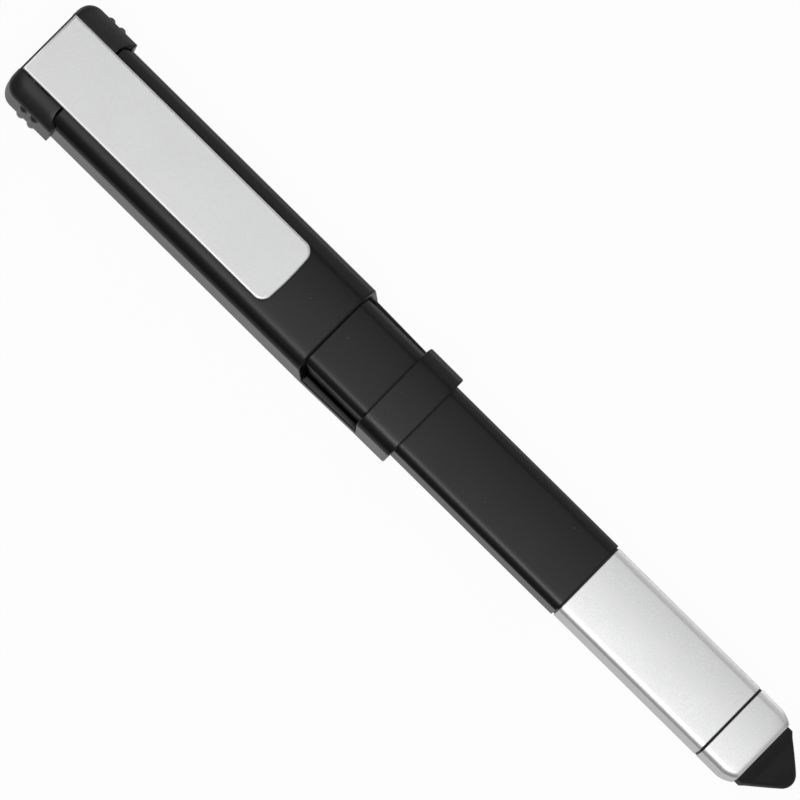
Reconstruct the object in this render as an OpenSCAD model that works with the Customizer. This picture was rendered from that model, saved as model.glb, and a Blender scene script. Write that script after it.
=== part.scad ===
// Flat stylus pen in a clip-on sleeve that is also a phone stand.
// The pen lies on its back: +X points to the rubber tip, +Z to the clip, z = 0 is the sleeve's back.

/* [Long edges] */
// angle that the long front edges turn through before they meet the sides, in degrees
edge_turn = 45; // [35:1:60]

/* [Sleeve] */
// width of the sleeve behind the slot
sleeve_w = 15.6; // [14:0.1:18]
// thickness of the sleeve, front to back
sleeve_t = 9.8; // [9:0.1:12]
// radius along the sleeve's front edges
sleeve_front_r = 4; // [2:0.1:5]
// radius along the sleeve's back edges
sleeve_back_r = 1.2; // [0.6:0.1:2.5]
// length from the end cap to the slot
sleeve_l = 48.3; // [40:0.1:60]
// length of the friction pads in the mouth
pad_l = 5; // [3:0.5:8]
// height of the friction pads
pad_h = 2.2; // [1.5:0.1:2.4]
// gap between the end cap and the sleeve
cap_seam = 0.15; // [0.05:0.05:0.4]

/* [Phone slot] */
// width of the slot at the sleeve's front face
slot_w = 11.2; // [9:0.1:14]
// height of the ledge left under the slot
ledge_h = 2.9; // [2.2:0.1:4]
// lean of the slot's rear wall in degrees
slot_rear_lean = 13; // [0:1:20]
// lean of the slot's front wall in degrees
slot_front_lean = 6; // [0:1:12]
// length of the mouth band in front of the slot
band_l = 6.5; // [4:0.1:10]
// width of the mouth band
band_w = 15.1; // [14:0.1:18]

/* [End cap] */
// length of the cap at its front face
cap_l = 8; // [7:0.1:12]
// width of the cap without its ribs
cap_w = 17.5; // [17:0.1:20]
// how far the cap stands above the sleeve's front
cap_rise = 0.3; // [0:0.1:1]
// radius along the cap's front edges
cap_front_r = 4.8; // [3:0.1:5.2]
// radius along the cap's back edges
cap_back_r = 1.5; // [0.5:0.1:2]
// radius of the cap's corners in plan
cap_corner_r = 2.4; // [0.5:0.1:3]
// radius of the cap's end edge at the front
cap_edge_r = 0.7; // [0.3:0.1:1]
// radius of the cap's end edge at the back
cap_end_r = 2; // [0.5:0.1:3]
// how far the side ears reach along the sleeve
ear_l = 1.5; // [1:0.1:4]
// how much shorter the ears are at the top of their sides
ear_slant = 0.2; // [0:0.05:0.9]
// height over which the ears then run out along the front edge
ear_run = 1.3; // [0.5:0.1:2]
// height of the ears' lower edge above the back
ear_z = 1.2; // [0.5:0.1:2]
// height of the grip ribs
rib_h = 0.5; // [0.2:0.05:0.8]
// distance from the cap's end to the first rib
rib_x = 4.4; // [3:0.1:6]
// distance between the two ribs
rib_pitch = 2; // [1.4:0.1:3]
// radius of the ribs' round crest
rib_r = 0.8; // [0.6:0.05:1]
// length of the spigot inside the sleeve
spigot_l = 5; // [3:0.1:8]

/* [Clip] */
// width of the clip plate
clip_w = 10.5; // [8:0.1:11]
// thickness of the clip's sheet
clip_t = 0.9; // [0.6:0.1:1.2]
// length of the clip plate
clip_l = 46.7; // [35:0.1:50]
// air between clip and sleeve
clip_gap = 0.4; // [0.3:0.1:1]
// radius of the clip's free corners
clip_corner_r = 1.5; // [0.5:0.1:3]
// bow of the clip's free end
clip_bow = 0.3; // [0.1:0.1:1]
// set-back of the clip from the cap's end
clip_set = 0.4; // [0.2:0.1:1]
// clearance between clip and shoulders
clip_side_gap = 0.15; // [0.1:0.05:0.4]
// radius of the hinge pin
pin_r = 0.6; // [0.4:0.05:0.8]
// distance from the cap's end to the pin
pin_x = 2.6; // [2.2:0.1:4]
// depth of the pin below the plate's underside
pin_drop = 1.6; // [1.5:0.1:2.5]
// running clearance of the lugs on the pin
pin_clear = 0.05; // [0.02:0.01:0.1]
// length of pin held in each shoulder
pin_hold = 1.1; // [0.8:0.1:1.4]
// wire radius of the torsion spring
wire_r = 0.2; // [0.15:0.01:0.25]
// turns of the torsion spring
turns = 4; // [2:1:6]

/* [Barrel] */
// width of the bar
bar_w = 12.7; // [11:0.1:13]
// thickness of the bar
bar_t = 6.7; // [6:0.1:7.5]
// radius along the bar's front edges
bar_front_r = 2.6; // [1:0.1:2.8]
// radius along the bar's back edges
bar_back_r = 1; // [0.4:0.1:1.5]
// length of bar that shows in front of the sleeve
bar_show = 31.45; // [20:0.05:45]
// length of bar inside the sleeve
bar_inside = 44; // [30:0.5:50]
// wall of the bar
bar_wall = 1.2; // [0.8:0.1:1.5]
// sliding clearance of the bar in the sleeve
bar_clear = 0.15; // [0.05:0.01:0.3]

/* [Silver nose] */
// seam between the bar and the nose
nose_seam = 0.25; // [0.1:0.05:0.5]
// width of the nose
nose_w = 12.3; // [11:0.1:13]
// thickness of the nose
nose_t = 6.6; // [6:0.1:7.5]
// radius along the nose's front edges
nose_front_r = 1.8; // [0.8:0.1:2.2]
// radius along the nose's back edges
nose_back_r = 0.7; // [0.4:0.1:1.5]
// length of the shell
shell_l = 27.55; // [20:0.05:35]
// wall of the shell and collar
shell_wall = 0.7; // [0.5:0.1:1]
// thickness of the seam ring
ring_t = 0.35; // [0.2:0.05:1]
// length of the collar
collar_l = 6.15; // [4:0.05:9]
// draw-in of the collar on each side
collar_taper = 0.25; // [0:0.05:0.5]
// radius of the collar's front corners
collar_r = 1.5; // [0.5:0.1:2]
// length of the tail plug inside the bar
tail_l = 8; // [5:0.1:12]
// how far the plug's flange lies inside the seam
flange_set = 0.2; // [0.1:0.05:0.4]

/* [Rubber tip] */
// width of the tip where it leaves the collar
tip_w = 10.3; // [8:0.1:11]
// thickness of the tip where it leaves the collar
tip_t = 4.8; // [4:0.1:5.2]
// straight length before the wedge
tip_straight = 0.9; // [0.4:0.1:2]
// length of tip that shows
tip_l = 6.1; // [4:0.1:9]
// radius of the wedge's point
tip_r = 1.9; // [1:0.1:2.5]
// length of the tip's post inside the plug
post_l = 5.9; // [4:0.1:8]

/* [Refill] */
// radius of the refill tube
refill_r = 1.5; // [1.2:0.05:1.7]
// wall of the refill tube
refill_wall = 0.35; // [0.2:0.05:0.5]
// clearance around the refill
refill_clear = 0.08; // [0.03:0.01:0.15]
// length of the nib section in front of the bar
section_l = 9; // [6:0.1:12]
// length of the metal nib cone
cone_l = 4.5; // [3:0.1:7]
// length of the writing point that stands out
point_l = 2.4; // [1.5:0.1:4]
// radius of the writing ball
ball_r = 0.4; // [0.25:0.05:0.5]
// length of the nib section's shank in the bar
shank_l = 9; // [6:0.1:12]
// length of the writing point's shoulder
shoulder_l = 4.9; // [4:0.1:6]
// length of the writing point's root in the ink tube
root_l = 5; // [3:0.1:7]
// length of refill tube beyond the bar
refill_over = 4; // [2:0.1:6]

/* [Hidden] */
$fn = 48;
eps = 0.01;
// heights
mid_z = sleeve_t / 2;
cap_h = sleeve_t + cap_rise;
plate_z = sleeve_t + clip_gap;
pin_z = plate_z - pin_drop;
// distances from the top end, along the pen
x_sleeve = cap_l + cap_seam;
x_slot = x_sleeve + sleeve_l;
x_band = x_slot + slot_w;
x_mouth = x_band + band_l;
x_bar_end = x_mouth + bar_show;
x_bar = x_mouth - bar_inside;
x_shell = x_bar_end + nose_seam;
x_ring = x_shell + shell_l;
x_collar = x_ring + ring_t;
x_tip = x_collar + collar_l;
total_l = x_tip + tip_l;
x_section = x_bar - section_l;
x_cone = x_section - cone_l;
x_point = x_cone - point_l;
// cavities
bar_in_w = bar_w - 2 * bar_wall;
bar_in_t = bar_t - 2 * bar_wall;
bar_in_r = max(0.3, bar_front_r - bar_wall);
shell_in_w = nose_w - 2 * shell_wall;
shell_in_t = nose_t - 2 * shell_wall;
shell_in_r = max(0.3, nose_front_r - shell_wall);
hole_w = bar_w + 2 * bar_clear;
hole_t = bar_t + 2 * bar_clear;
hole_front_r = bar_front_r + bar_clear;
hole_back_r = bar_back_r + bar_clear;
// pocket in the end cap
pocket_w = clip_w + 2 * clip_side_gap;
lug_r = pin_r + clip_t;
pocket_floor = pin_z - lug_r - 0.4;
pocket_l = pin_x + lug_r + 1.6;
spring_r = pin_r + 0.25 + wire_r;
spring_pitch = 2 * wire_r + 0.45;
pad_t = bar_clear - 0.02;
post_w = tip_w - 3;
post_t = tip_t - 2.4;
refill_tail = x_bar_end + refill_over;
x_tube = x_section + shoulder_l - 1.9;
pin_reach = pocket_w / 2 + pin_hold;

// Moves a shape drawn from the top end so that the pen's middle is at x = 0.
module placed() {
    translate([-total_l / 2, 0, 0]) children();
}

// Rectangle with round corners, centred.
module round_rect(w, h, r) {
    square([w - 2 * r, h], center = true);
    square([w, h - 2 * r], center = true);
    for (sx = [-1, 1], sy = [-1, 1])
        translate([sx * (w / 2 - r), sy * (h / 2 - r)]) circle(r);
}

// Section across the pen, carried along it from xa to xb.
module along(xa, xb, z = 0) {
    translate([xa, 0, z]) rotate([90, 0, 90]) linear_extrude(xb - xa) children();
}

// Side outline (x, z), carried across the pen over a width w.
module across(w, y = 0) {
    translate([0, y, 0]) rotate([90, 0, 0]) linear_extrude(w, center = true) children();
}

// Height lost along a front edge of radius r by the time that it meets the side.
function edge_drop(r) = r * (1 - cos(edge_turn));

// Section that stands on its back: the front edges curve down to a corner at the sides, and the back
// edges are round.
module edge_section(w, t, front_r, back_r) {
    half = w / 2;
    run = front_r * sin(edge_turn);
    drop = edge_drop(front_r);
    lap = 0.2;
    translate([-half, back_r]) square([w, t - back_r - drop - lap / 2]);
    translate([-half + run, t / 2]) square([w - 2 * run, t / 2]);
    translate([-half + back_r, 0]) square([w - 2 * back_r, t / 2]);
    for (s = [-1, 1]) {
        translate([s * (half - back_r), back_r]) circle(back_r);
        intersection() {
            translate([s * (half - run), t - front_r]) circle(front_r);
            translate([s > 0 ? half - run - lap : -half, t - drop - lap]) square([run + lap, drop + 2 * lap]);
        }
    }
}

// Flat body on the pen's axis with different edges at front and back.
module flat_body(w, t, front_r, back_r, xa, xb) {
    along(xa, xb, mid_z - t / 2) edge_section(w, t, front_r, back_r);
}

// Flat bar on the pen's axis with the same radius on its four long edges.
module flat_bar(w, t, r, xa, xb) {
    along(xa, xb, mid_z) round_rect(w, t, r);
}

// Round rod on the pen's axis.
module rod(r, xa, xb) {
    translate([xa, 0, mid_z]) rotate([0, 90, 0]) cylinder(r = r, h = xb - xa);
}

// Cone on the pen's axis.
module taper(ra, rb, xa, xb) {
    translate([xa, 0, mid_z]) rotate([0, 90, 0]) cylinder(r1 = ra, r2 = rb, h = xb - xa);
}

// Leaning slot, cut from the front face down to the ledge.
module slot_cut() {
    top = sleeve_t + 4;
    function rear(z) = x_slot + (sleeve_t - z) * tan(slot_rear_lean);
    function front(z) = x_band + (sleeve_t - z) * tan(slot_front_lean);
    across(sleeve_w + band_w)
        polygon([[rear(ledge_h), ledge_h], [front(ledge_h), ledge_h], [front(top), top], [rear(top), top]]);
}

// Black tube with the slot and the band at its mouth.
module holder_sleeve() {
    color([0.13, 0.13, 0.13]) placed() difference() {
        union() {
            flat_body(sleeve_w, sleeve_t, sleeve_front_r, sleeve_back_r, x_sleeve, x_slot + slot_w * 0.75);
            flat_body(band_w, sleeve_t, sleeve_front_r, sleeve_back_r, x_slot + slot_w * 0.75 - eps, x_mouth);
        }
        flat_body(hole_w, hole_t, hole_front_r, hole_back_r, x_sleeve - 1, x_mouth + 1);
        slot_cut();
    }
}

// Side outline of the cap: full height to the seam, then the ear, which runs out at the front edge.
module cap_side() {
    ear_top = cap_h - edge_drop(cap_front_r);
    translate([0, cap_end_r]) square([cap_l, cap_h - cap_end_r - cap_edge_r]);
    translate([cap_end_r, 0]) square([cap_l - cap_end_r, cap_h / 2]);
    translate([cap_edge_r, cap_h / 2]) square([cap_l - cap_edge_r, cap_h / 2]);
    translate([cap_end_r, cap_end_r]) circle(cap_end_r);
    translate([cap_edge_r, cap_h - cap_edge_r]) circle(cap_edge_r);
    polygon([
        [cap_l - 1, ear_z], [cap_l + ear_l, ear_z], [cap_l + ear_l - ear_slant, ear_top],
        [cap_l, ear_top + ear_run], [cap_l - 1, ear_top + ear_run]
    ]);
}

// Ribbed cap that closes the sleeve; the hinge pin snaps into its shoulders from the end.
module end_cap() {
    reach = cap_l + ear_l;
    color([0.12, 0.12, 0.12]) placed() difference() {
        union() {
            difference() {
                intersection() {
                    along(-1, reach + 1) edge_section(cap_w, cap_h, cap_front_r, cap_back_r);
                    across(cap_w + 2) cap_side();
                    translate([0, 0, -1]) linear_extrude(cap_h + 2) {
                        translate([cap_corner_r, -cap_w / 2]) square([reach - cap_corner_r, cap_w]);
                        translate([0, -cap_w / 2 + cap_corner_r]) square([reach, cap_w - 2 * cap_corner_r]);
                        for (s = [-1, 1])
                            translate([cap_corner_r, s * (cap_w / 2 - cap_corner_r)]) circle(cap_corner_r);
                    }
                }
                flat_body(sleeve_w + 0.1, sleeve_t + 0.1, sleeve_front_r, sleeve_back_r, cap_l, reach + 1);
            }
            flat_body(hole_w - 0.04, hole_t - 0.04, hole_front_r, hole_back_r, cap_l - 0.5, cap_l + spigot_l);
            for (k = [0, 1], s = [-1, 1]) grip_rib(rib_x + k * rib_pitch, s);
        }
        translate([-1, -pocket_w / 2, pocket_floor]) cube([pocket_l + 1, pocket_w, cap_h]);
        translate([-1, -pocket_w / 2, plate_z - 0.35]) cube([reach + 2, pocket_w, cap_h]);
        translate([pin_x, -pin_reach, pin_z]) rotate([-90, 0, 0]) cylinder(r = pin_r, h = 2 * pin_reach);
        translate([-1, -pin_reach, pin_z - 0.9 * pin_r]) cube([pin_x + 1, 2 * pin_reach, 1.8 * pin_r]);
        flat_bar(hole_w - 3, hole_t - 3, 0.5, cap_l + 1.2, cap_l + spigot_l + 1);
    }
}

// Upright rib with a round crest and a round upper end, on one side of the cap.
module grip_rib(x, s) {
    bottom = cap_back_r + 0.6;
    top = cap_h - edge_drop(cap_front_r) - rib_r;
    translate([x, s * (cap_w / 2 - rib_r + rib_h), 0]) {
        translate([0, 0, bottom]) cylinder(r = rib_r, h = top - bottom);
        translate([0, 0, top]) sphere(rib_r);
    }
}

// Steel pin across the cap's shoulders.
module hinge_pin() {
    half = pin_reach - 0.1;
    color([0.7, 0.7, 0.7]) placed()
        translate([pin_x, -half, pin_z]) rotate([-90, 0, 0]) cylinder(r = pin_r, h = 2 * half);
}

// Points along the torsion spring: tail leg, turns, floor leg.
spring_from = 80;
spring_to = 30 - 360 * turns;
spring_len = turns * spring_pitch;
function around(a) = [cos(a), 0, sin(a)];
function leg_dir(a) = [-sin(a), 0, cos(a)];
function wind_y(k) = -spring_len / 2 + spring_len * k;
spring_steps = turns * 16 + 2;
spring_mid = [
    for (i = [0 : spring_steps])
        let (k = i / spring_steps, a = spring_from + (spring_to - spring_from) * k)
            spring_r * around(a) + [0, wind_y(k), 0]
];
tail_leg = pin_x - clip_set - 0.6;
floor_drop = spring_r * sin(spring_to) + pin_z - pocket_floor - wire_r - 0.05;
floor_leg = floor_drop / cos(30);
spring_path = concat(
    [spring_mid[0] + tail_leg * leg_dir(spring_from)],
    spring_mid,
    [spring_mid[spring_steps] - floor_leg * leg_dir(spring_to)]
);
function spring_out(i) =
    around(spring_from + (spring_to - spring_from) * min(max(i - 1, 0), spring_steps) / spring_steps);

// Least clear distance between neighbouring turns, measured on the points.
turn_step = round(spring_steps / (turns + 50 / 360));
turn_gap = min([
    for (i = [0 : spring_steps - turn_step], j = [i + turn_step - 1 : min(i + turn_step + 1, spring_steps)])
        norm(spring_mid[i] - spring_mid[j]) - 2 * wire_r
]);
echo(least_gap_between_spring_turns = turn_gap);

// Torsion spring on the pin, one unbroken wire.
module clip_spring() {
    sides = 6;
    n = len(spring_path);
    rings = [
        for (i = [0 : n - 1], k = [0 : sides - 1])
            spring_path[i] + wire_r * (cos(360 * k / sides) * spring_out(i) + sin(360 * k / sides) * [0, 1, 0])
    ];
    walls = [
        for (i = [0 : n - 2], k = [0 : sides - 1])
            let (a = i * sides + k, b = i * sides + (k + 1) % sides, c = b + sides, d = a + sides)
                each [[a, b, c], [a, c, d]]
    ];
    ends = [
        for (k = [1 : sides - 2]) each [
            [0, k + 1, k],
            [(n - 1) * sides, (n - 1) * sides + k, (n - 1) * sides + k + 1]
        ]
    ];
    color([0.75, 0.75, 0.75]) placed() translate([pin_x, 0, pin_z])
        polyhedron(points = rings, faces = concat(walls, ends));
}

// Two thin pads in the mouth band that hold the bar by friction.
module grip_pads() {
    x = x_mouth - pad_l - 0.6;
    color([0.08, 0.08, 0.08]) placed()
        for (s = [-1, 1])
            translate([x, s * (hole_w / 2 - pad_t / 2) - pad_t / 2, mid_z - pad_h / 2]) cube([pad_l, pad_t, pad_h]);
}

// Plan of the clip plate: square at the hinge, round corners and a slight bow at the free end.
module clip_plan() {
    far = clip_set + clip_l;
    half = clip_w / 2;
    bow_r = (half * half + clip_bow * clip_bow) / (2 * clip_bow);
    intersection() {
        union() {
            translate([clip_set, -half]) square([clip_l - clip_corner_r, clip_w]);
            translate([clip_set, -half + clip_corner_r]) square([clip_l, clip_w - 2 * clip_corner_r]);
            for (s = [-1, 1])
                translate([far - clip_corner_r, s * (half - clip_corner_r)]) circle(clip_corner_r);
        }
        translate([far - bow_r, 0]) circle(bow_r, $fn = 200);
    }
}

// Silver plate with two lugs on the pin and a dimple under its free end.
module clip() {
    bump_h = clip_gap - 0.1;
    bump_r = (bump_h * bump_h + 9) / (2 * bump_h);
    color([0.85, 0.86, 0.87]) placed() difference() {
        union() {
            translate([0, 0, plate_z]) linear_extrude(clip_t) clip_plan();
            for (s = [-1, 1])
                across(clip_t, s * (clip_w - clip_t) / 2) {
                    translate([pin_x, pin_z]) circle(lug_r);
                    translate([pin_x - lug_r, pin_z]) square([2 * lug_r, plate_z - pin_z + clip_t / 2]);
                }
            intersection() {
                across(clip_w - 4)
                    translate([clip_set + clip_l - 5.5, plate_z + bump_r - bump_h]) circle(bump_r, $fn = 120);
                translate([clip_set + clip_l - 10, -clip_w / 2, plate_z - 1]) cube([9, clip_w, 1 + clip_t / 2]);
            }
        }
        translate([pin_x, -clip_w, pin_z]) rotate([-90, 0, 0]) cylinder(r = pin_r + pin_clear, h = 2 * clip_w);
    }
}

// Flat tube of the pen, open at both ends.
module barrel() {
    color([0.14, 0.14, 0.14]) placed() difference() {
        flat_body(bar_w, bar_t, bar_front_r, bar_back_r, x_bar, x_bar_end);
        flat_bar(bar_in_w, bar_in_t, bar_in_r, x_bar - 1, x_bar_end + 1);
    }
}

// Front plug of the bar: flat shank, flange and round snout with the refill's bore.
module nib_section() {
    color([0.16, 0.16, 0.16]) placed() difference() {
        union() {
            flat_bar(bar_in_w - 0.04, bar_in_t - 0.04, bar_in_r, x_bar - eps, x_bar + shank_l);
            flat_body(bar_w - 0.6, bar_t - 0.6, bar_front_r, bar_back_r, x_bar - 1, x_bar);
            taper(refill_r + 0.9, bar_t / 2 - 0.3, x_section, x_bar - 1 + eps);
        }
        rod(refill_r + refill_clear, x_section - 1, x_bar + shank_l + 1);
    }
}

// Metal cone on the snout.
module nib_cone() {
    color([0.8, 0.8, 0.8]) placed() difference() {
        taper(refill_r - 0.3, refill_r + 0.9, x_cone, x_section);
        rod(refill_r - 0.5 + refill_clear, x_cone - 1, x_section - 2 + eps);
        rod(refill_r + refill_clear, x_section - 2, x_section + 1);
    }
}

// Ink tube of the refill, seated on the writing point's shoulder.
module refill_tube() {
    color([0.9, 0.9, 0.92, 1]) placed() difference() {
        rod(refill_r, x_tube, refill_tail);
        rod(refill_r - refill_wall, x_tube - 1, refill_tail + 1);
    }
}

// Brass writing point: shoulder in the tube, neck through the cone and a socket for the ball.
module refill_tip() {
    ball_x = x_point + ball_r;
    color([0.8, 0.65, 0.35]) placed() difference() {
        union() {
            rod(refill_r - refill_wall - 0.01, x_tube, x_tube + root_l);
            rod(refill_r, x_tube - shoulder_l, x_tube);
            rod(refill_r - 0.5, x_cone - 0.2, x_tube - shoulder_l + eps);
            taper(ball_r * 0.95, refill_r - 0.5, ball_x, x_cone - 0.2 + eps);
        }
        translate([ball_x, 0, mid_z]) sphere(ball_r + 0.02);
        rod(0.5, x_cone + 1, x_tube + root_l + 1);
    }
}

// Ball of the writing point.
module writing_ball() {
    color([0.6, 0.6, 0.62]) placed() translate([x_point + ball_r, 0, mid_z]) sphere(ball_r);
}

// Plug that carries the silver nose and closes the bar; its thin flange shows as the dark seam.
module nose_plug() {
    band_x = x_bar_end - tail_l / 2;
    color([0.1, 0.1, 0.1]) placed() difference() {
        union() {
            flat_bar(bar_in_w - 0.2, bar_in_t - 0.2, bar_in_r, x_bar_end - tail_l, x_shell);
            flat_bar(shell_in_w - 0.02, shell_in_t - 0.02, shell_in_r, x_bar_end + nose_seam / 2, x_ring);
            flat_body(
                nose_w - 2 * flange_set, nose_t - 2 * flange_set, nose_front_r, nose_back_r, x_bar_end + 0.03, x_shell
            );
        }
        rod(refill_r + refill_clear, x_bar_end - tail_l - 1, refill_tail + 0.05);
        difference() {
            along(band_x - 1, band_x + 1, mid_z) square([bar_w, bar_t], center = true);
            flat_bar(bar_in_w - 1, bar_in_t - 1, 0.3, band_x - 2, band_x + 2);
        }
        flat_bar(post_w, post_t, 0.5, x_ring - post_l - 0.1, x_ring + 1);
        translate([x_ring - post_l / 2, 0, mid_z - bar_t]) cylinder(r = 0.6, h = 2 * bar_t);
    }
}

// Rubber friction band in the plug's groove.
module plug_band() {
    band_x = x_bar_end - tail_l / 2;
    color([0.07, 0.07, 0.07]) placed() difference() {
        flat_bar(bar_in_w - 0.1, bar_in_t - 0.1, bar_in_r, band_x - 0.95, band_x + 0.95);
        flat_bar(bar_in_w - 0.98, bar_in_t - 0.98, 0.3, band_x - 2, band_x + 2);
    }
}

// Silver tube of the nose.
module nose_shell() {
    color([0.83, 0.84, 0.86]) placed() difference() {
        flat_body(nose_w, nose_t, nose_front_r, nose_back_r, x_shell, x_ring);
        flat_bar(shell_in_w, shell_in_t, shell_in_r, x_shell - 1, x_ring + 1);
    }
}

// Thin black ring between shell and collar.
module seam_ring() {
    color([0.05, 0.05, 0.05]) placed() difference() {
        flat_body(nose_w, nose_t, nose_front_r, nose_back_r, x_ring, x_collar);
        flat_bar(post_w + 0.02, post_t + 0.02, 0.5, x_ring - 1, x_collar + 1);
    }
}

// Silver collar: slight draw-in, rounded front corners, window for the rubber tip.
module tip_collar() {
    half = nose_w / 2;
    color([0.84, 0.85, 0.87]) placed() difference() {
        intersection() {
            flat_body(nose_w, nose_t, nose_front_r, nose_back_r, x_collar, x_tip);
            translate([0, 0, mid_z - nose_t]) linear_extrude(2 * nose_t) {
                polygon([
                    [x_collar, -half], [x_tip - collar_r, -half + collar_taper],
                    [x_tip - collar_r, half - collar_taper], [x_collar, half]
                ]);
                translate([x_collar, -half + collar_taper + collar_r])
                    square([collar_l, nose_w - 2 * (collar_taper + collar_r)]);
                for (s = [-1, 1])
                    translate([x_tip - collar_r, s * (half - collar_taper - collar_r)]) circle(collar_r);
            }
            across(nose_w + 2) {
                edge = 0.8;
                translate([x_collar, mid_z - nose_t / 2]) square([collar_l - edge, nose_t]);
                translate([x_collar, mid_z - nose_t / 2 + edge]) square([collar_l, nose_t - 2 * edge]);
                for (s = [-1, 1])
                    translate([x_tip - edge, mid_z + s * (nose_t / 2 - edge)]) circle(edge);
            }
        }
        flat_bar(post_w + 0.02, post_t + 0.02, 0.5, x_collar - 1, x_tip + 1);
        flat_bar(tip_w, tip_t, 0.9, x_collar + 2.5, x_tip + 1);
    }
}

// Post from the plug through ring and collar into the rubber tip.
module tip_post() {
    color([0.3, 0.3, 0.3]) placed() difference() {
        flat_bar(post_w - 0.02, post_t - 0.02, 0.5, x_ring - post_l, x_tip + 1.2);
        translate([x_ring - post_l / 2, 0, mid_z - bar_t]) cylinder(r = 0.6, h = 2 * bar_t);
    }
}

// Cross pin that locks the post in the plug.
module post_pin() {
    length = shell_in_t - 0.1;
    color([0.7, 0.7, 0.7]) placed()
        translate([x_ring - post_l / 2, 0, mid_z - length / 2]) cylinder(r = 0.59, h = length);
}

// Rubber wedge: straight root in the collar, then a four-sided taper to a round point.
module stylus_tip() {
    root = x_collar + 2.55;
    end = x_tip + tip_l;
    edge = 0.45;
    color([0.12, 0.12, 0.12]) placed() difference() {
        union() {
            flat_bar(tip_w - 0.04, tip_t - 0.04, 0.9, root, x_tip + tip_straight);
            hull() {
                flat_bar(tip_w - 0.04, tip_t - 0.04, 0.9, x_tip + tip_straight - 0.2, x_tip + tip_straight);
                for (s = [-1, 1])
                    translate([end - tip_r, 0, mid_z + s * 0.7]) rotate([90, 0, 0])
                        translate([0, 0, -tip_r + edge]) cylinder(r = edge, h = 2 * (tip_r - edge), $fn = 24);
                translate([end - tip_r, 0, mid_z]) cylinder(r = tip_r, h = 1.2, center = true, $fn = 48);
            }
        }
        flat_bar(post_w, post_t, 0.5, root - 1, x_tip + 1.25);
    }
}

holder_sleeve();
end_cap();
hinge_pin();
clip_spring();
grip_pads();
clip();
barrel();
nib_section();
nib_cone();
refill_tube();
refill_tip();
writing_ball();
nose_plug();
plug_band();
nose_shell();
seam_ring();
tip_collar();
tip_post();
post_pin();
stylus_tip();
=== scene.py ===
import math

import bpy
import numpy as np
from mathutils import Matrix, Vector


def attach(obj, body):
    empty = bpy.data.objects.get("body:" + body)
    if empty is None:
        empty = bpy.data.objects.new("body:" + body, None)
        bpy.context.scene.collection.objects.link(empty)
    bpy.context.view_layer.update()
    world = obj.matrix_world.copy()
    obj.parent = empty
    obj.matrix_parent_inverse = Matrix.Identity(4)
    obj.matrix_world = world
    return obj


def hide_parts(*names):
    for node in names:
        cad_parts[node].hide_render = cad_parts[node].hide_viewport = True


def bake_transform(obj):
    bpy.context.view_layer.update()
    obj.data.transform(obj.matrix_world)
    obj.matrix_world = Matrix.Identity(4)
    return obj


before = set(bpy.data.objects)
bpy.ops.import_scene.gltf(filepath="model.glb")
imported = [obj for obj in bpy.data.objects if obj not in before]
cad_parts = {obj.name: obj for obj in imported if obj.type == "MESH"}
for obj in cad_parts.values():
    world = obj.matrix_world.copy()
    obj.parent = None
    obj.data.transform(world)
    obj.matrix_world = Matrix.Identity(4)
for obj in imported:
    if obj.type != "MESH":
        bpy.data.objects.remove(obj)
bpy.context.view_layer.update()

# Refill: a plastic ink tube with a turned brass writing point and a hard ball rolled into its end.
# It slides into the bar from the nose end and rests on its shoulder in the nib cone.


class Wire:
    """One output of a shader tree; Python sums on it add the Math nodes that do the same sum."""

    def __init__(self, tree, socket):
        self.tree = tree
        self.socket = socket

    def math(self, operation, first, second):
        node = self.tree.nodes.new("ShaderNodeMath")
        node.operation = operation
        for slot, value in zip(node.inputs, (first, second)):
            if isinstance(value, Wire):
                self.tree.links.new(value.socket, slot)
            else:
                slot.default_value = value
        return Wire(self.tree, node.outputs[0])

    def __add__(self, other):
        return self.math("ADD", self, other)

    def __radd__(self, other):
        return self.math("ADD", other, self)

    def __mul__(self, other):
        return self.math("MULTIPLY", self, other)

    def __rmul__(self, other):
        return self.math("MULTIPLY", other, self)


class Finish:
    """A material on a Principled shader; its node method adds any node with settings and inputs."""

    def __init__(self, name):
        self.material = bpy.data.materials.new(name)
        self.material.use_nodes = True
        self.tree = self.material.node_tree
        self.shader = self.tree.nodes["Principled BSDF"]
        self.place = self.node("ShaderNodeTexCoord", out="Object")

    def feed(self, socket, value):
        if isinstance(value, Wire):
            self.tree.links.new(value.socket, socket)
        else:
            socket.default_value = value

    def node(self, kind, settings=(), inputs=(), out=0):
        made = self.tree.nodes.new(kind)
        for key, value in dict(settings).items():
            if key == "stops":
                stops = made.color_ramp.elements
                while len(stops) < len(value):
                    stops.new(0.5)
                for stop, (at, level) in zip(stops, value):
                    stop.position = at
                    stop.color = (level, level, level, 1.0)
            else:
                setattr(made, key, value)
        for key, value in dict(inputs).items():
            self.feed(made.inputs[key], value)
        return Wire(self.tree, made.outputs[out])

    def set(self, **values):
        for key, value in values.items():
            self.feed(self.shader.inputs[key.replace("_", " ")], value)
        return self

    def noise(self, scale, detail=2.0, rough=0.5, stretch=(1.0, 1.0, 1.0)):
        at = self.node("ShaderNodeMapping", {}, {"Vector": self.place, "Scale": stretch})
        inputs = {"Vector": at, "Scale": scale, "Detail": detail, "Roughness": rough}
        return self.node("ShaderNodeTexNoise", {}, inputs)

    def ramp(self, value, *stops):
        return self.node("ShaderNodeValToRGB", {"stops": stops}, {"Fac": value})

    def mix(self, factor, first, second):
        inputs = {"Factor": factor, "A": first, "B": second}
        return self.node("ShaderNodeMix", {"data_type": "RGBA"}, inputs, out="Result")

    def bump(self, height, strength, distance):
        inputs = {"Height": height, "Strength": strength, "Distance": distance}
        return self.set(Normal=self.node("ShaderNodeBump", {}, inputs, out="Normal"))


def grey(level, red=1.0, blue=1.0):
    """A near neutral colour of one linear level."""
    return (level * red, level, level * blue, 1.0)


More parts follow.
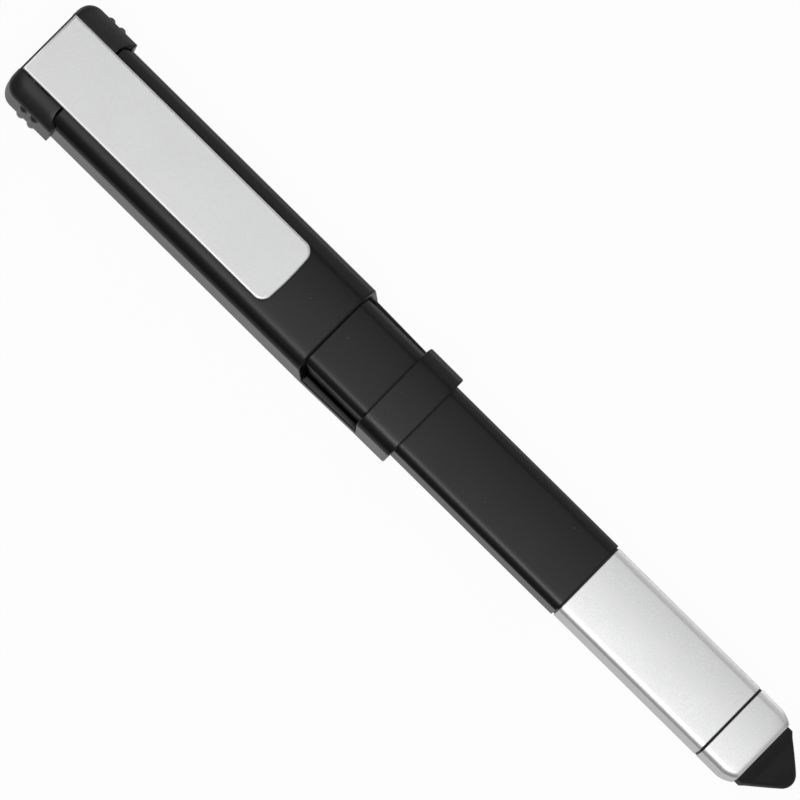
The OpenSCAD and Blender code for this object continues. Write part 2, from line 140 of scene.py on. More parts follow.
def dress(node_name, finish):
    """Puts a finish on a CAD node that keeps its own mesh."""
    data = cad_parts[node_name].data
    data.materials.clear()
    data.materials.append(finish.material)


def turned_metal(name, colour, gloss, lines=9000.0):
    """Turned or drawn metal: tool marks close together along X that spread the roughness about its
    gloss, and a cloud that mixes in a darker shade of the colour."""
    shade, spread = 0.72, 0.08
    made = Finish(name)
    marks = made.noise(lines, stretch=(1.0, 0.04, 0.04))
    cloud = made.noise(400.0, detail=3.0, rough=0.6)
    darker = tuple(v * shade for v in colour[:3]) + (1.0,)
    made.set(Base_Color=made.mix(cloud, darker, colour), Metallic=1.0)
    made.set(Roughness=gloss - spread + marks * (2 * spread))
    return made.bump(marks, strength=0.3, distance=0.00001)


deep_ink, thin_ink = (0.010, 0.013, 0.055, 1.0), (0.035, 0.05, 0.14, 1.0)
ink_tube = Finish("ink_tube")
column = ink_tube.noise(260.0, stretch=(0.3, 1.0, 1.0))
ink_tube.set(Base_Color=ink_tube.mix(column, deep_ink, thin_ink))
ink_tube.set(Roughness=0.18 + column * 0.16, Coat_Weight=0.6, IOR=1.49)
brass, ball_grey = (0.66, 0.46, 0.17, 1.0), (0.42, 0.43, 0.45, 1.0)
dress("refill_tube", ink_tube)
dress("refill_tip", turned_metal("turned_brass", brass, gloss=0.3))
dress("writing_ball", turned_metal("hard_ball", ball_grey, gloss=0.16, lines=15000.0))

# Nib section: the moulded front plug that guides the refill, with a drawn steel cone pressed on its
# snout. It is glued into the bar and stays hidden in the sleeve until the pen is drawn out.


def moulded_black(name, level, gloss, spark=1.0):
    """Satin black plastic: spark-eroded grain in the skin, a cloud that spreads the roughness about
    its gloss, and rub marks and a little dust that mix lighter greys into the black."""
    rubbed, dusty, spread = 0.5, 0.4, 0.05
    made = Finish(name)
    grain = made.noise(5200.0, detail=3.0, rough=0.6)
    cloud = made.noise(110.0, detail=3.0, rough=0.55)
    worn = made.noise(620.0, detail=4.0, rough=0.62, stretch=(0.3, 1.0, 1.0))
    worn = made.ramp(worn, (0.6, 0.0), (0.8, 1.0))
    dust = made.ramp(made.noise(2100.0, detail=1.0, rough=0.4), (0.785, 0.0), (0.83, 1.0))
    colour = made.mix(worn * rubbed, grey(level, blue=1.04), grey(level * 2.4))
    colour = made.mix(dust * dusty, colour, grey(0.11))
    made.set(Base_Color=colour, Specular_IOR_Level=0.31)
    made.set(Roughness=gloss - spread + cloud * (2 * spread) + worn * 0.06)
    return made.bump(grain, strength=0.22 * spark, distance=0.00002)


drawn_steel = turned_metal("drawn_steel", (0.6, 0.6, 0.61, 1.0), gloss=0.26)
dress("nib_section", moulded_black("plug_black", level=0.012, gloss=0.4))
dress("nib_cone", drawn_steel)

# Bar: the pen's own body, a flat moulded tube in satin black with rounded long edges.
# It slides in the sleeve, shows in the slot, and ends at the butt seam of the silver nose.
MM = 0.001
TOP_END = 73.0
AXIS_Z = 4.9
EDGE_TURN = 45.0
CROWN = 0.05


def turned_edge(radius, turn, blend, angle):
    """Insets of a long edge from its corner. It is an arc of this radius that turns down through turn
    degrees, then a blend arc inside it, tangent to it and to the side. The angle runs up from the
    side."""
    reach = radius * math.sin(math.radians(turn))
    rise = np.sqrt(np.maximum((radius - blend) ** 2 - (reach - blend) ** 2, 0.0))
    small = angle < np.arctan2(rise, reach - blend)
    inset_y = np.where(small, blend * (1.0 - np.cos(angle)), reach - radius * np.cos(angle))
    inset_z = np.where(small, radius - rise - blend * np.sin(angle), radius * (1.0 - np.sin(angle)))
    return inset_y, inset_z


def flat_ring(width, thickness, front_r, back_r, crown=0.0, ledge=None, turn=90.0, blend=0.0):
    """Ring across the pen: turned edges at the front, quarter circles at the back, and points across
    the broad faces. Its height then falls off by crown times the square of y over half the width, so
    that the faces swell. A ledge adds one point on each side at that height."""
    sizes = [np.atleast_1d(v).astype(float) for v in (width, thickness, front_r, back_r)]
    width, thickness, front_r, back_r = [v[:, None] for v in np.broadcast_arrays(*sizes)]
    quarter = np.linspace(0.0, np.pi / 2, 17)
    between = np.linspace(1.0, -1.0, 11)[1:-1]
    ys, zs = [], []
    for sz, radius, edge in ((1, front_r, (turn, blend)), (-1, back_r, (90.0, 0.0))):
        inset_y, inset_z = turned_edge(radius, *edge, quarter)
        y, z = width / 2 - inset_y, sz * (thickness / 2 - inset_z)
        flat = y[:, -1:] * between
        if ledge is not None:
            ys.append(sz * width / 2)
            zs.append(np.full_like(width, ledge))
        ys += [sz * y, sz * flat, -sz * y[:, ::-1]]
        zs += [z, sz * thickness / 2 + 0.0 * flat, z[:, ::-1]]
    y = np.concatenate(ys, axis=1)
    z = np.concatenate(zs, axis=1)
    return np.stack([y, z * (1.0 - crown * (2 * y / width) ** 2)], axis=-1)


def along_pen(x, rings):
    """Carries rings to distances x from the top end: (x - top end, ring y, ring z + axis height)."""
    x = np.asarray(x, float)
    x = np.broadcast_to(x if x.ndim == 2 else x[:, None], rings.shape[:2])
    return np.stack([x - TOP_END, rings[..., 0], rings[..., 1] + AXIS_Z], axis=-1) * MM


def grid_quads(rows, columns, loop=False):
    """Quads of a grid whose columns close on themselves, and whose rows do too where it loops."""
    i = np.arange(rows if loop else rows - 1)[:, None]
    j = np.arange(columns)[None, :]
    on = (j + 1) % columns
    up = (i + 1) % rows
    corners = [i * columns + j, i * columns + on, up * columns + on, up * columns + j]
    return np.stack(corners, axis=-1)


def make_piece(name, points, quads, ends, finish, body, node, edge=0.0, limit=45.0):
    """Mesh object from whole arrays, its edges rounded by a bevel and its flats kept flat. It stands
    for a CAD node, and rides on the body where one is named."""
    data = bpy.data.meshes.new(name)
    faces = quads.reshape(-1, 4).tolist() + [list(map(int, end)) for end in ends]
    data.from_pydata(points.reshape(-1, 3).tolist(), [], faces)
    data.update()
    data.polygons.foreach_set("use_smooth", np.ones(len(data.polygons), bool))
    data.materials.append(finish.material)
    piece = bpy.data.objects.new(name, data)
    bpy.context.collection.objects.link(piece)
    if edge:
        bevel = piece.modifiers.new("soft_edges", "BEVEL")
        bevel.width = edge * MM
        bevel.segments = 3
        bevel.limit_method = "ANGLE"
        bevel.angle_limit = math.radians(limit)
    flats = piece.modifiers.new("flats", "WEIGHTED_NORMAL")
    flats.weight = 80
    if body:
        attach(piece, body)
    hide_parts(node)
    return piece


def flat_tube(name, x0, x1, outer, inner, finish, body, node, edge):
    """Flat tube: four rings, out along the outside and back along the bore, closed into a loop. The
    outside is given by its width, thickness and front and back edge radii, the bore by one radius."""
    skin = flat_ring([outer[0]] * 2, *outer[1:], crown=CROWN, turn=EDGE_TURN, blend=0.6)
    hollow = flat_ring([inner[0]] * 2, inner[1], inner[2], inner[2])
    rings = np.concatenate([skin, hollow])
    points = along_pen([x0, x1, x1, x0], rings)
    quads = grid_quads(4, rings.shape[1], loop=True)
    return make_piece(name, points, quads, [], finish, body, node, edge)


bar_from, bar_to = 30.15, 105.6
bar_size, bar_bore = (12.7, 6.7, 2.6, 1.0), (10.3, 4.3, 1.4)
bar_black = moulded_black("bar_black", level=0.006, gloss=0.31, spark=0.8)
flat_tube(
    "bar", bar_from, bar_to, bar_size, bar_bore,
    bar_black, "pen", "barrel", edge=0.12,
)

# Nose plug: moulded plug inside the silver nose, with a rubber band in a groove that grips the bar,
# and the post for the rubber tip, which is locked to the plug by a small steel cross pin.


def soft_rubber(name, level, gloss):
    """Moulded rubber: fine pitted grain, and pale bloom in patches that mixes in a lighter grey and
    spreads the roughness about its gloss."""
    spread = 0.06
    made = Finish(name)
    grain = made.noise(7800.0, rough=0.6)
    bloom = made.ramp(made.noise(420.0, detail=4.0, rough=0.6), (0.45, 0.0), (0.8, 1.0))
    colour = made.mix(bloom, grey(level), grey(level * 1.9))
    made.set(Base_Color=colour, Specular_IOR_Level=0.3)
    made.set(Roughness=gloss - spread + bloom * (2 * spread))
    return made.bump(grain, strength=0.35, distance=0.00002)


dress("nose_plug", moulded_black("nose_plug_black", level=0.014, gloss=0.45))
dress("plug_band", soft_rubber("band_rubber", level=0.012, gloss=0.7))
dress("tip_post", moulded_black("post_black", level=0.03, gloss=0.45))
dress("post_pin", drawn_steel)

# Silver nose: a flat tube and a drawn-in collar of thin metal in fine silver lacquer, with a black
# gasket ring between them. Tube, ring and collar are pushed over the plug and clamped by the post.


def silver_lacquer(name, level, gloss, flake):
    """Silver lacquer over metal: tiny bright flakes and faint clouding mixed into the colour, and
    fine hairlines along the pen in the roughness."""
    made = Finish(name)
    flakes = made.noise(9500.0, detail=1.0)
    cloud = made.noise(170.0, detail=3.0, rough=0.55)
    hair = made.noise(5200.0, rough=0.55, stretch=(0.03, 1.0, 1.0))
    glint = made.ramp(flakes, (0.42, 0.0), (0.66, 1.0))
    base, bright = grey(level * 0.88, red=0.995, blue=1.01), grey(min(level * 1.1, 0.97))
    colour = made.mix(glint * flake, base, bright)
    made.set(Base_Color=made.mix(cloud * 0.25, colour, grey(level * 0.93)), Metallic=0.9)
    made.set(Roughness=gloss - 0.05 + cloud * 0.06 + hair * 0.05)
    return made.bump(flakes, strength=0.2 * flake, distance=0.00002)


nose_silver = silver_lacquer("nose_silver", level=0.82, gloss=0.4, flake=0.8)
ring_rubber = soft_rubber("ring_rubber", level=0.006, gloss=0.6)
nose_from, ring_from, collar_from, collar_to = 105.85, 133.4, 133.75, 139.9
nose_size, nose_bore = (12.3, 6.6, 1.8, 0.7), (10.9, 5.2, 1.1)
ring_size, post_hole, tip_window = (12.1, 6.4, 1.7, 0.6), (7.32, 2.42, 0.5), (10.3, 4.8, 0.9)
flat_tube(
    "nose_tube", nose_from, ring_from, nose_size, nose_bore,
    nose_silver, "nose", "nose_shell", edge=0.12,
)
flat_tube(
    "gasket", ring_from, collar_from, ring_size, post_hole,
    ring_rubber, "nose", "seam_ring", edge=0.05,
)

# The collar's rings run out over rounded front corners, in over the rim to the tip's window, down to
# the wall at the window's foot, and back through the post's hole.
nose_w, nose_t, nose_front_r, nose_back_r = nose_size
corner_l, corner_in, rim_in, rim_front_r, window_lip = 2.4, 0.9, 0.3, 1.2, 0.15
window_foot = collar_from + 2.5
front_rings = 12
front = np.sin(np.radians(np.linspace(0.0, 86.0, front_rings)))
front_w = nose_w - 2 * corner_in * front ** 1.8
front_t = nose_t - 2 * rim_in * (1.0 - np.sqrt(1.0 - front ** 8))
window_x = [collar_to - window_lip, window_foot, window_foot, collar_from]
window_w, window_t, window_r = [[a, a, b, b] for a, b in zip(tip_window, post_hole)]
collar_x = np.concatenate([[collar_from], collar_to - corner_l * (1.0 - front), window_x])
collar_w = np.concatenate([[nose_w], front_w, window_w])
collar_t = np.concatenate([[nose_t], front_t, window_t])
rim_r = np.linspace(nose_front_r, rim_front_r, front_rings)
collar_front = np.concatenate([[nose_front_r], rim_r, window_r])
collar_back = np.concatenate([np.full(front_rings + 3, nose_back_r), window_r[2:]])
rings = flat_ring(
    collar_w, collar_t, collar_front, collar_back, crown=CROWN, turn=EDGE_TURN, blend=0.3,
)
make_piece(
    "collar", along_pen(collar_x, rings), grid_quads(len(collar_x), rings.shape[1], loop=True), [],
    nose_silver, "nose", "tip_collar", edge=0.1, limit=50.0,
)

# Stylus tip: one moulded wedge of conductive rubber, square at the collar and drawn to a round point
# on four flat slopes. Its root is pushed into the collar's window and over the post.
tip_rubber = soft_rubber("tip_rubber", level=0.009, gloss=0.7)
root_x, step_x, slope_x = collar_from + 2.6, collar_to + 0.3, collar_to + 0.9
point_x, point_r = 146.0, 1.9
tip_half_w, tip_half_t, slope_fall, dome_t, blunt, tip_edge = 5.13, 2.38, 1.32, 1.7, 0.03, 0.75
reach = point_x - point_r - slope_x
touch = math.atan2(tip_half_w, reach) - math.asin(point_r / math.hypot(reach, tip_half_w))
bend = np.linspace(math.pi / 2 - touch, 0.03, 12)
arc_x = point_x - point_r + point_r * np.cos(bend)
arc_w = point_r * np.sin(bend)
line = np.linspace(0.0, 1.0, 8)
tip_x = np.concatenate([[root_x, step_x], slope_x + (arc_x[0] - slope_x) * line, arc_x[1:]])
line_w = tip_half_w + (arc_w[0] - tip_half_w) * line
tip_w = np.concatenate([[tip_half_w, tip_half_w], line_w, arc_w[1:]])
fall = np.clip((tip_x - slope_x) / (point_x - slope_x), 0.0, 1.0)
dome = dome_t * np.sqrt(np.maximum(1.0 - fall ** 2.6, 0.0)) + blunt
tip_t = np.where(fall <= 0.0, tip_half_t, np.minimum(tip_half_t - slope_fall * fall, dome))
tip_r = np.minimum(np.minimum(tip_edge, tip_w * 0.95), tip_t * 0.95)
rings = flat_ring(2 * tip_w, 2 * tip_t, tip_r, tip_r, crown=0.04)
rows, columns = rings.shape[:2]


def end_faces(rows, columns):
    """The two faces that close a grid's first and last ring, facing out."""
    ring = np.arange(columns)
    return [ring[::-1], (rows - 1) * columns + ring]


make_piece(
    "rubber_tip", along_pen(tip_x, rings), grid_quads(rows, columns), end_faces(rows, columns),
    tip_rubber, "nose", "stylus_tip",
)

# Holder sleeve: the satin black moulded tube that the pen is pushed into, with two thin rubber pads
# inside it for grip. A slot across it holds a phone, and a ledge along the back ties the mouth band
# to the long part under the clip.
sleeve_black = moulded_black("sleeve_black", level=0.006, gloss=0.28)
sleeve_x = np.array([8.15, 56.45, 67.65, 74.15])
wall_lean = np.radians([0.0, 13.0, 6.0, 0.0])
sleeve_w, sleeve_t, bore_w, bore_t = [15.6, 15.6, 15.15, 15.1], 9.8, 13.0, 7.0
slot_ledge, ledge_fall = 2.9 - AXIS_Z, 0.14
outer = flat_ring(
    sleeve_w, sleeve_t, front_r=4.0, back_r=1.2,
    crown=CROWN, ledge=slot_ledge - ledge_fall, turn=EDGE_TURN, blend=1.6,
)
bore = flat_ring(
    np.full(4, bore_w), bore_t, front_r=2.75, back_r=1.15,
    ledge=slot_ledge, turn=EDGE_TURN, blend=0.3,
)
count = outer.shape[1]
upper = count // 2


def leaning_walls(rings):
    """x of every vertex: the slot's walls lean, so x grows with the depth below the front face times
    the tangent of the lean, down to the ledge."""
    front_z = sleeve_t / 2
    depth = np.clip(front_z - rings[..., 1], 0.0, front_z - slot_ledge)
    return sleeve_x[:, None] + depth * np.tan(wall_lean)[:, None]


def wall_quads(row, first, second):
    """Quads through the wall on one row of rings, between the columns first and second."""
    near, far = row * count, (row + 4) * count
    return np.stack([near + first, far + first, far + second, near + second], axis=-1)


# Quads of the skin and the bore without the slot, both ends, the slot's two walls, and the ledge's
# top on each side.
tube_quads = grid_quads(4, count)
solid = np.ones((3, count), bool)
solid[1, :upper] = False
around = np.arange(count)
after = (around + 1) % count
arc = np.arange(upper)
sleeve_quads = [
    tube_quads[solid],
    (tube_quads[..., ::-1] + 4 * count)[solid],
    wall_quads(0, around, after),
    wall_quads(3, after, around),
    wall_quads(1, arc + 1, arc),
    wall_quads(2, arc, arc + 1),
    np.array([[5, 6, 2, 1]]) * count,
    np.array([[1, 2, 6, 5]]) * count + upper,
]
points = [along_pen(leaning_walls(outer), outer), along_pen(leaning_walls(bore), bore)]
make_piece(
    "sleeve", np.concatenate(points), np.concatenate(sleeve_quads), [],
    sleeve_black, "holder", "holder_sleeve", edge=0.28, limit=50.0,
)
dress("grip_pads", soft_rubber("pad_rubber", level=0.014, gloss=0.7))

# End cap: the moulded cap that closes the sleeve, in satin black. Its shoulders hold the hinge pin on
# each side of the clip's pocket, its ears run on along the sleeve, and ribs on its sides give grip.
cap_black = moulded_black("cap_black", level=0.02, gloss=0.36)
cap_half, cap_top, cap_front_r, cap_back_r = 8.75, 10.1, 4.8, 1.5
corner_r, heel_r, brow_r = 2.4, 2.0, 0.7
pocket_half, pocket_end, pocket_floor, channel_floor, lip = 5.4, 5.7, 6.7, 9.85, 0.05
rib_at, rib_r, rib_high, rib_half, rib_foot = np.array([4.4, 6.4]), 0.8, 0.45, 0.725, 0.53
corner_turn = np.linspace(0.0, np.pi / 2, 16)
rib_turn = np.linspace(-np.pi / 2, np.pi / 2, 13)
cap_x = np.sort(np.concatenate([
    corner_r * (1.0 - np.cos(corner_turn)),
    (rib_at[:, None] + rib_half * np.sin(rib_turn)).ravel(),
    [3.0, 5.55, 5.8, 7.4, 8.0],
]))


def drawn_in(x, radius):
    """Quarter circle: how far an edge of this radius has drawn in at a distance x from the end."""
    return radius - np.sqrt(np.maximum(radius ** 2 - np.maximum(radius - x, 0.0) ** 2, 0.0))


def cap_section(half, low, top, front_r, back_r, x, floor):
    """Half section from the back's middle round the side to the pocket's middle, then its mirror,
    with a turned edge at the front that stops at the pocket's wall. A rib stands out from the side at
    x as an upright round rod that ends in a ball below the front edge, where x is given."""
    back = np.radians(np.linspace(-90.0, 0.0, 11))
    beyond = front_r * math.sin(math.radians(EDGE_TURN)) - (half - pocket_half)
    span = np.arccos(np.clip(beyond / front_r, 0.0, 1.0))
    inset_y, inset_z = turned_edge(front_r, EDGE_TURN, 1.2, span * np.linspace(0.0, 1.0, 25))
    part = np.array([0.03, 0.075, 0.085, 0.3, 0.6, 0.8, 0.87, 0.9, 0.925, 0.945, 0.96, 0.975])
    foot = low + back_r
    side_z = foot + part * (top - inset_z[:, :1] - foot)
    one = np.ones_like(half)
    swell = 0.0 * side_z
    if x is not None:
        over = np.maximum(side_z - (cap_top - inset_z[:, :1] - rib_r), 0.0)
        away = np.min((x - rib_at) ** 2, axis=1, keepdims=True)
        swell = np.sqrt(np.maximum(rib_r ** 2 - away - over ** 2, 0.0)) - (rib_r - rib_high)
        swell = np.where(side_z > cap_back_r + rib_foot, np.maximum(swell, 0.0), 0.0)
    y = np.concatenate([
        0.0 * one, half - back_r + back_r * np.cos(back), half + swell, half - inset_y,
        pocket_half * one, 0.0 * one,
    ], axis=1)
    z = np.concatenate([
        low, foot + back_r * np.sin(back), side_z, top - inset_z, floor, floor,
    ], axis=1)
    y = np.concatenate([y, -y[:, -2:0:-1]], axis=1)
    z = np.concatenate([z, z[:, -2:0:-1]], axis=1)
    return np.stack([y, z - AXIS_Z], axis=-1)


x = cap_x[:, None]
half = cap_half - drawn_in(x, corner_r)
low = drawn_in(x, heel_r)
top = cap_top - drawn_in(x, brow_r)
floor_z = np.minimum(np.where(x < pocket_end, pocket_floor, channel_floor), top - lip)
rings = cap_section(half, low, top, cap_front_r, cap_back_r, x, floor_z)
one = np.ones((1, 1))
inner = cap_section(
    half=7.85 * one, low=0.35 * one, top=9.85 * one, front_r=4.0, back_r=1.2, x=None, floor=9.6 * one,
)

# The ears are the last ring, carried on along the sleeve by its height on the sides. The inner rim
# follows it, and the end face lies just inside that.
rim = rings[-1:]
ear_from, ear_half, rim_step, face_scale = 8.0, 5.5, 0.01, 0.98
ear_z, ear_end = [0.9, 1.1, 1.5, 8.7, 9.99], [8.0, 9.1, 9.5, 9.3, 8.0]
ear_run = np.interp(rim[..., 1] + AXIS_Z, ear_z, ear_end)
ear_x = np.where(np.abs(rim[..., 0]) > ear_half, ear_run, ear_from)
cap_points = np.concatenate([
    along_pen(cap_x[:-1], rings[:-1]),
    along_pen(ear_x, rim),
    along_pen(np.maximum(ear_x - rim_step, ear_from), inner),
    along_pen([ear_from], inner * face_scale),
])
rows, columns = cap_points.shape[:2]
make_piece(
    "cap", cap_points, grid_quads(rows, columns), end_faces(rows, columns),
    cap_black, "holder", "end_cap", edge=0.1, limit=55.0,
)

# Hinge pin: a drawn steel pin that lies across the clip's pocket, with its ends held in the cap's
# shoulders. It carries the spring, and the clip's two lugs turn on it.
dress("hinge_pin", drawn_steel)

# Torsion spring: steel wire wound on the pin, which holds the clip shut. One leg stands on the
# pocket's floor and the other lies under the plate's tail, so the turns between them wind up as the
# clip opens.
spring_wire = turned_metal("spring_wire", (0.5, 0.5, 0.51, 1.0), gloss=0.3, lines=12000.0)
pin_x, pin_z, wire_r, coil_r, coil_half = 2.6, 8.6, 0.2, 1.05, 1.7
tail_from, floor_to = math.radians(80.0), math.radians(30.0 - 4 * 360.0)
tail_leg, floor_leg = 1.6, 2.51
pin_at = np.array([pin_x - TOP_END, 0.0, pin_z])


def wound_wire(wire_sides):
    """Tube on a helix about the pin: each ring lies across the wire, in the plane of the pin's axis
    and the way out from it. A straight leg leaves each end along the helix's tangent."""
    k = np.linspace(0.0, 1.0, 129)
    around = tail_from + (floor_to - tail_from) * np.concatenate([[0.0], k, [1.0]])
    leg = np.concatenate([[tail_leg], 0.0 * k, [-floor_leg]])[:, None]
    out = np.stack([np.cos(around), 0.0 * around, np.sin(around)], axis=-1)
    on = np.stack([-np.sin(around), 0.0 * around, np.cos(around)], axis=-1)
    side = np.array([0.0, 1.0, 0.0])
    across = coil_half * np.concatenate([[-1.0], 2.0 * k - 1.0, [1.0]])[:, None]
    path = coil_r * out + leg * on + across * side
    turn = np.linspace(2 * np.pi, 0.0, wire_sides + 1)[:-1, None]
    rings = path[:, None] + wire_r * (np.cos(turn) * out[:, None] + np.sin(turn) * side)
    return (rings + pin_at) * MM


wire = wound_wire(wire_sides=14)
rows, columns = wire.shape[:2]
spring = make_piece(
    "spring", wire, grid_quads(rows, columns), end_faces(rows, columns),
    spring_wire, None, "clip_spring",
)
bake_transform(spring)

# Clip: one stamped plate of silver sheet with a rolled front edge, square at the hinge and rounded at
# its free end. Two lugs are bent down onto the pin, and a dimple under the free end meets the sleeve.
clip_silver = silver_lacquer("clip_silver", level=0.78, gloss=0.4, flake=0.35)
clip_from, clip_to, clip_half, clip_low, clip_top = 0.4, 47.1, 5.25, 10.2, 11.1
free_r, roll_r, roll_turn, side_blend, foot_in = 1.5, 0.9, 22.0, 0.12, 0.12
bow, bow_from, bow_run = 0.3, 40.0, 6.0


def clip_outline(inset):
    """Plan of the plate drawn in by an inset: straight sides, a square hinge end, and a free end with
    arcs at its corners that bows out by a parabola."""
    inset = np.asarray(inset, float)[:, None]
    arc = np.radians(np.linspace(-90.0, 0.0, 13))
    half = clip_half - inset
    radius = free_r - 0.6 * inset
    hinge_x = clip_from + inset
    x_right = clip_to - inset - radius + radius * np.cos(arc)
    y_right = -half + radius + radius * np.sin(arc)
    mid = (half - radius) * np.linspace(-0.75, 0.75, 7)
    mid_x = (clip_to - inset) + 0.0 * mid
    x = np.concatenate([hinge_x, x_right, mid_x, x_right[:, ::-1], hinge_x], axis=1)
    y = np.concatenate([-half, y_right, mid, -y_right[:, ::-1], half], axis=1)
    bowed = bow * (y / clip_half) ** 2 * np.clip((x - bow_from) / bow_run, 0.0, 1.0)
    return np.stack([x - bowed, y], axis=-1)


roll_at = np.radians(np.linspace(0.0, 90.0, 19))
edge_in, edge_down = turned_edge(roll_r, roll_turn, side_blend, roll_at)
plan = clip_outline(np.concatenate([[foot_in, 0.0], edge_in]))
heights = np.concatenate([[clip_low, clip_low + foot_in], clip_top - edge_down])
plate = np.stack([
    plan[..., 0] - TOP_END, plan[..., 1], np.broadcast_to(heights[:, None], plan.shape[:2]),
], axis=-1) * MM
rows, columns = plate.shape[:2]
clip_points = [plate.reshape(-1, 3)]
clip_quads = [grid_quads(rows, columns).reshape(-1, 4)]
clip_ends = end_faces(rows, columns)
offset = rows * columns

# Each lug is a loop of four rings about the pin, round below it and square up to the plate.
hole_r, lug_r, lug_up, lug_in, lug_out, lug_sides = 0.65, 1.5, 1.75, 4.35, 5.23, 48
tiny = 1e-6
angle = np.linspace(0.0, 2 * np.pi, lug_sides + 1)[:-1]
to_side = lug_r / np.maximum(np.abs(np.cos(angle)), tiny)
to_plate = lug_up / np.maximum(np.sin(angle), tiny)
rim_far = np.where(np.sin(angle) > 0, np.minimum(to_side, to_plate), lug_r)
hole = np.full(lug_sides, hole_r)
lug_radius = np.stack([rim_far, rim_far, hole, hole])
lug_quads = grid_quads(4, lug_sides, loop=True).reshape(-1, 4)
for side in (-1, 1):
    lug_y = side * np.array([lug_in, lug_out, lug_out, lug_in])[:, None]
    lug = np.stack([
        pin_x - TOP_END + lug_radius * np.cos(angle),
        np.broadcast_to(lug_y, lug_radius.shape),
        pin_z + lug_radius * np.sin(angle),
    ], axis=-1) * MM
    clip_points.append(lug.reshape(-1, 3))
    clip_quads.append((lug_quads if side < 0 else lug_quads[:, ::-1]) + offset)
    offset += lug_radius.size

# The dimple is a shallow bowl that stands down from the plate's underside by a parabola.
dimple_x, dimple_r, dimple_deep, dimple_sunk, dimple_rings = 41.6, 3.0, 0.35, 0.05, 7
ring_at = np.linspace(1.0, 0.02, dimple_rings)[:, None]
dimple = np.stack([
    dimple_x - TOP_END + dimple_r * ring_at * np.cos(angle),
    dimple_r * ring_at * np.sin(angle),
    clip_low + dimple_sunk - dimple_deep * (1.0 - ring_at ** 2) + 0.0 * angle,
], axis=-1) * MM
clip_points.append(dimple.reshape(-1, 3))
clip_quads.append(grid_quads(dimple_rings, lug_sides).reshape(-1, 4)[:, ::-1] + offset)
clip_ends += [offset + face[::-1] for face in end_faces(dimple_rings, lug_sides)]
make_piece(
    "clip_plate", np.concatenate(clip_points), np.concatenate(clip_quads), clip_ends,
    clip_silver, "clip", "clip", edge=0.08, limit=60.0,
)

# Camera: straight down on the clip, rolled so that the pen lies from corner to corner, and leaned a
# little to the near side, through a very long lens.
lean, swing = math.radians(9.5), math.radians(44.64)
lens_mm, sensor_mm, frame_w = 600.0, 36.0, 0.11102
aim_x, aim_down = -3.23, 0.24
view_y = Vector((0.0, math.cos(lean), math.sin(lean)))
view_x = Vector((1.0, 0.0, 0.0))
right = math.cos(swing) * view_x + math.sin(swing) * view_y
above = -math.sin(swing) * view_x + math.cos(swing) * view_y
back = right.cross(above)
lens = bpy.data.cameras.new("lens")
lens.lens = lens_mm
lens.sensor_width = sensor_mm
lens.clip_end = 20.0
camera = bpy.data.objects.new("camera", lens)
bpy.context.collection.objects.link(camera)
aim = Vector((aim_x, 0.0, AXIS_Z)) * MM - view_y * aim_down * MM
spot = aim + back * (frame_w * lens_mm / sensor_mm)
camera.matrix_world = Matrix((
    (right.x, above.x, back.x, spot.x),
    (right.y, above.y, back.y, spot.y),
    (right.z, above.z, back.z, spot.z),
    (0.0, 0.0, 0.0, 1.0),
))
bpy.context.scene.camera = camera

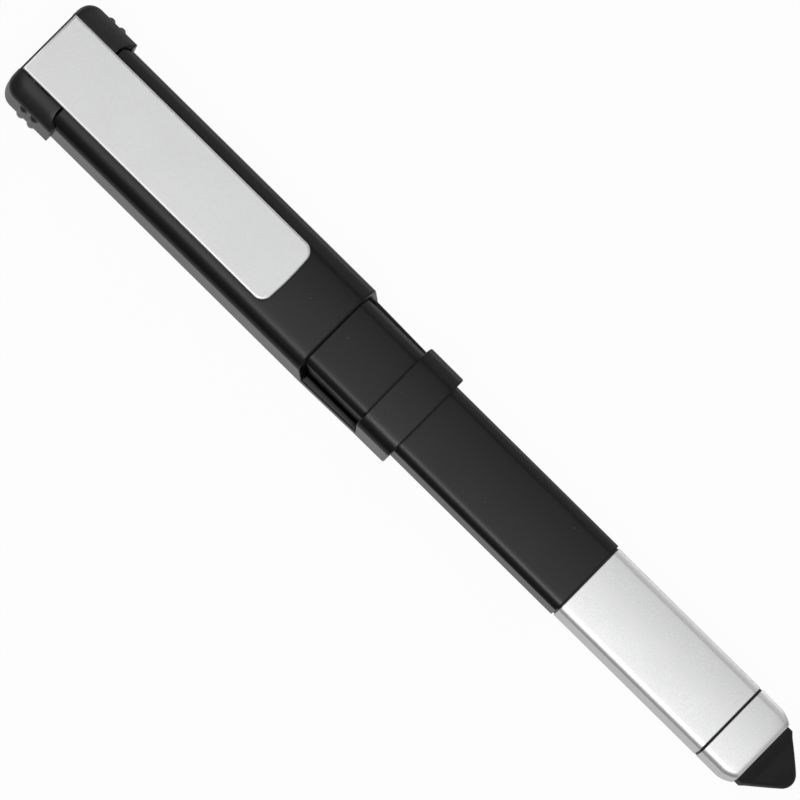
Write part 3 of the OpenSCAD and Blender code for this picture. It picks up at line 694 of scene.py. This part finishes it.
# Floor: a plain sheet of white paper under the pen, white to the eye and light grey in what mirrors it.
# A little of its own shading is mixed in, so that it keeps the pen's soft shadow.
sheet_half, sheet_z = 3.0, -0.02 * MM
eye_share, mirror_share = 0.96, 0.54
corners = [(-1, -1), (1, -1), (1, 1), (-1, 1)]
sheet = bpy.data.meshes.new("floor")
sheet.from_pydata([(i * sheet_half, j * sheet_half, sheet_z) for i, j in corners], [], [(0, 1, 2, 3)])
floor = bpy.data.objects.new("floor", sheet)
bpy.context.collection.objects.link(floor)
paper = Finish("paper")
fibre = paper.noise(900.0, detail=3.0)
eye = paper.node("ShaderNodeLightPath", out="Is Camera Ray")
mirrored = paper.node("ShaderNodeLightPath", out="Is Glossy Ray")
mirrored = mirrored + paper.node("ShaderNodeLightPath", out="Is Transmission Ray")
shaded = paper.mix(fibre, grey(0.4), grey(0.42))
paper.set(Base_Color=paper.mix(eye, shaded, grey(0.92)), Roughness=0.9)
seen = eye_share * eye + mirror_share * mirrored
glow = paper.node("ShaderNodeEmission", {}, {"Color": grey(1.0), "Strength": 1.0})
lit = Wire(paper.tree, paper.shader.outputs[0])
both = paper.node("ShaderNodeMixShader", {}, {0: seen, 1: lit, 2: glow})
paper.feed(paper.tree.nodes["Material Output"].inputs["Surface"], both)
sheet.materials.append(paper.material)

# Light: soft panels along both sides for the long edges, a wide one overhead and one at each end, in
# a dim grey room that is white to the eye and a little lighter in what mirrors it.
for name, direction, distance, size, watts in (
    ("near_panel", (0.1, -0.42, 0.9), 0.6, 0.1, 0.52),
    ("far_panel", (0.0, 0.85, 0.55), 0.8, 0.8, 1.1),
    ("rim_panel", (0.0, 0.99, 0.08), 0.8, 0.25, 0.42),
    ("top_panel", (0.0, -0.12, 0.99), 0.8, 0.52, 1.6),
    ("nose_end_panel", (0.87, 0.0, 0.5), 0.9, 0.7, 0.9),
    ("cap_end_panel", (-0.87, 0.0, 0.5), 0.9, 0.7, 0.9),
):
    panel = bpy.data.lights.new(name, "AREA")
    panel.size = size
    panel.energy = watts
    lamp = bpy.data.objects.new(name, panel)
    bpy.context.collection.objects.link(lamp)
    toward = Vector(direction).normalized()
    lamp.location = toward * distance
    lamp.rotation_euler = toward.to_track_quat("Z", "Y").to_euler()
room = bpy.data.worlds.new("room")
room.use_nodes = True
bpy.context.scene.world = room
room_level, mirror_level = 0.07, 0.08
sky = room.node_tree.nodes["Background"]
sky.inputs["Color"].default_value = grey(1.0)
rays = room.node_tree.nodes.new("ShaderNodeLightPath")
eye, glossy, through = [
    Wire(room.node_tree, rays.outputs[kind])
    for kind in ("Is Camera Ray", "Is Glossy Ray", "Is Transmission Ray")
]
strength = room_level + (1.0 - room_level) * eye + mirror_level * (glossy + through)
room.node_tree.links.new(strength.socket, sky.inputs["Strength"])
bpy.context.scene.view_settings.view_transform = "Standard"
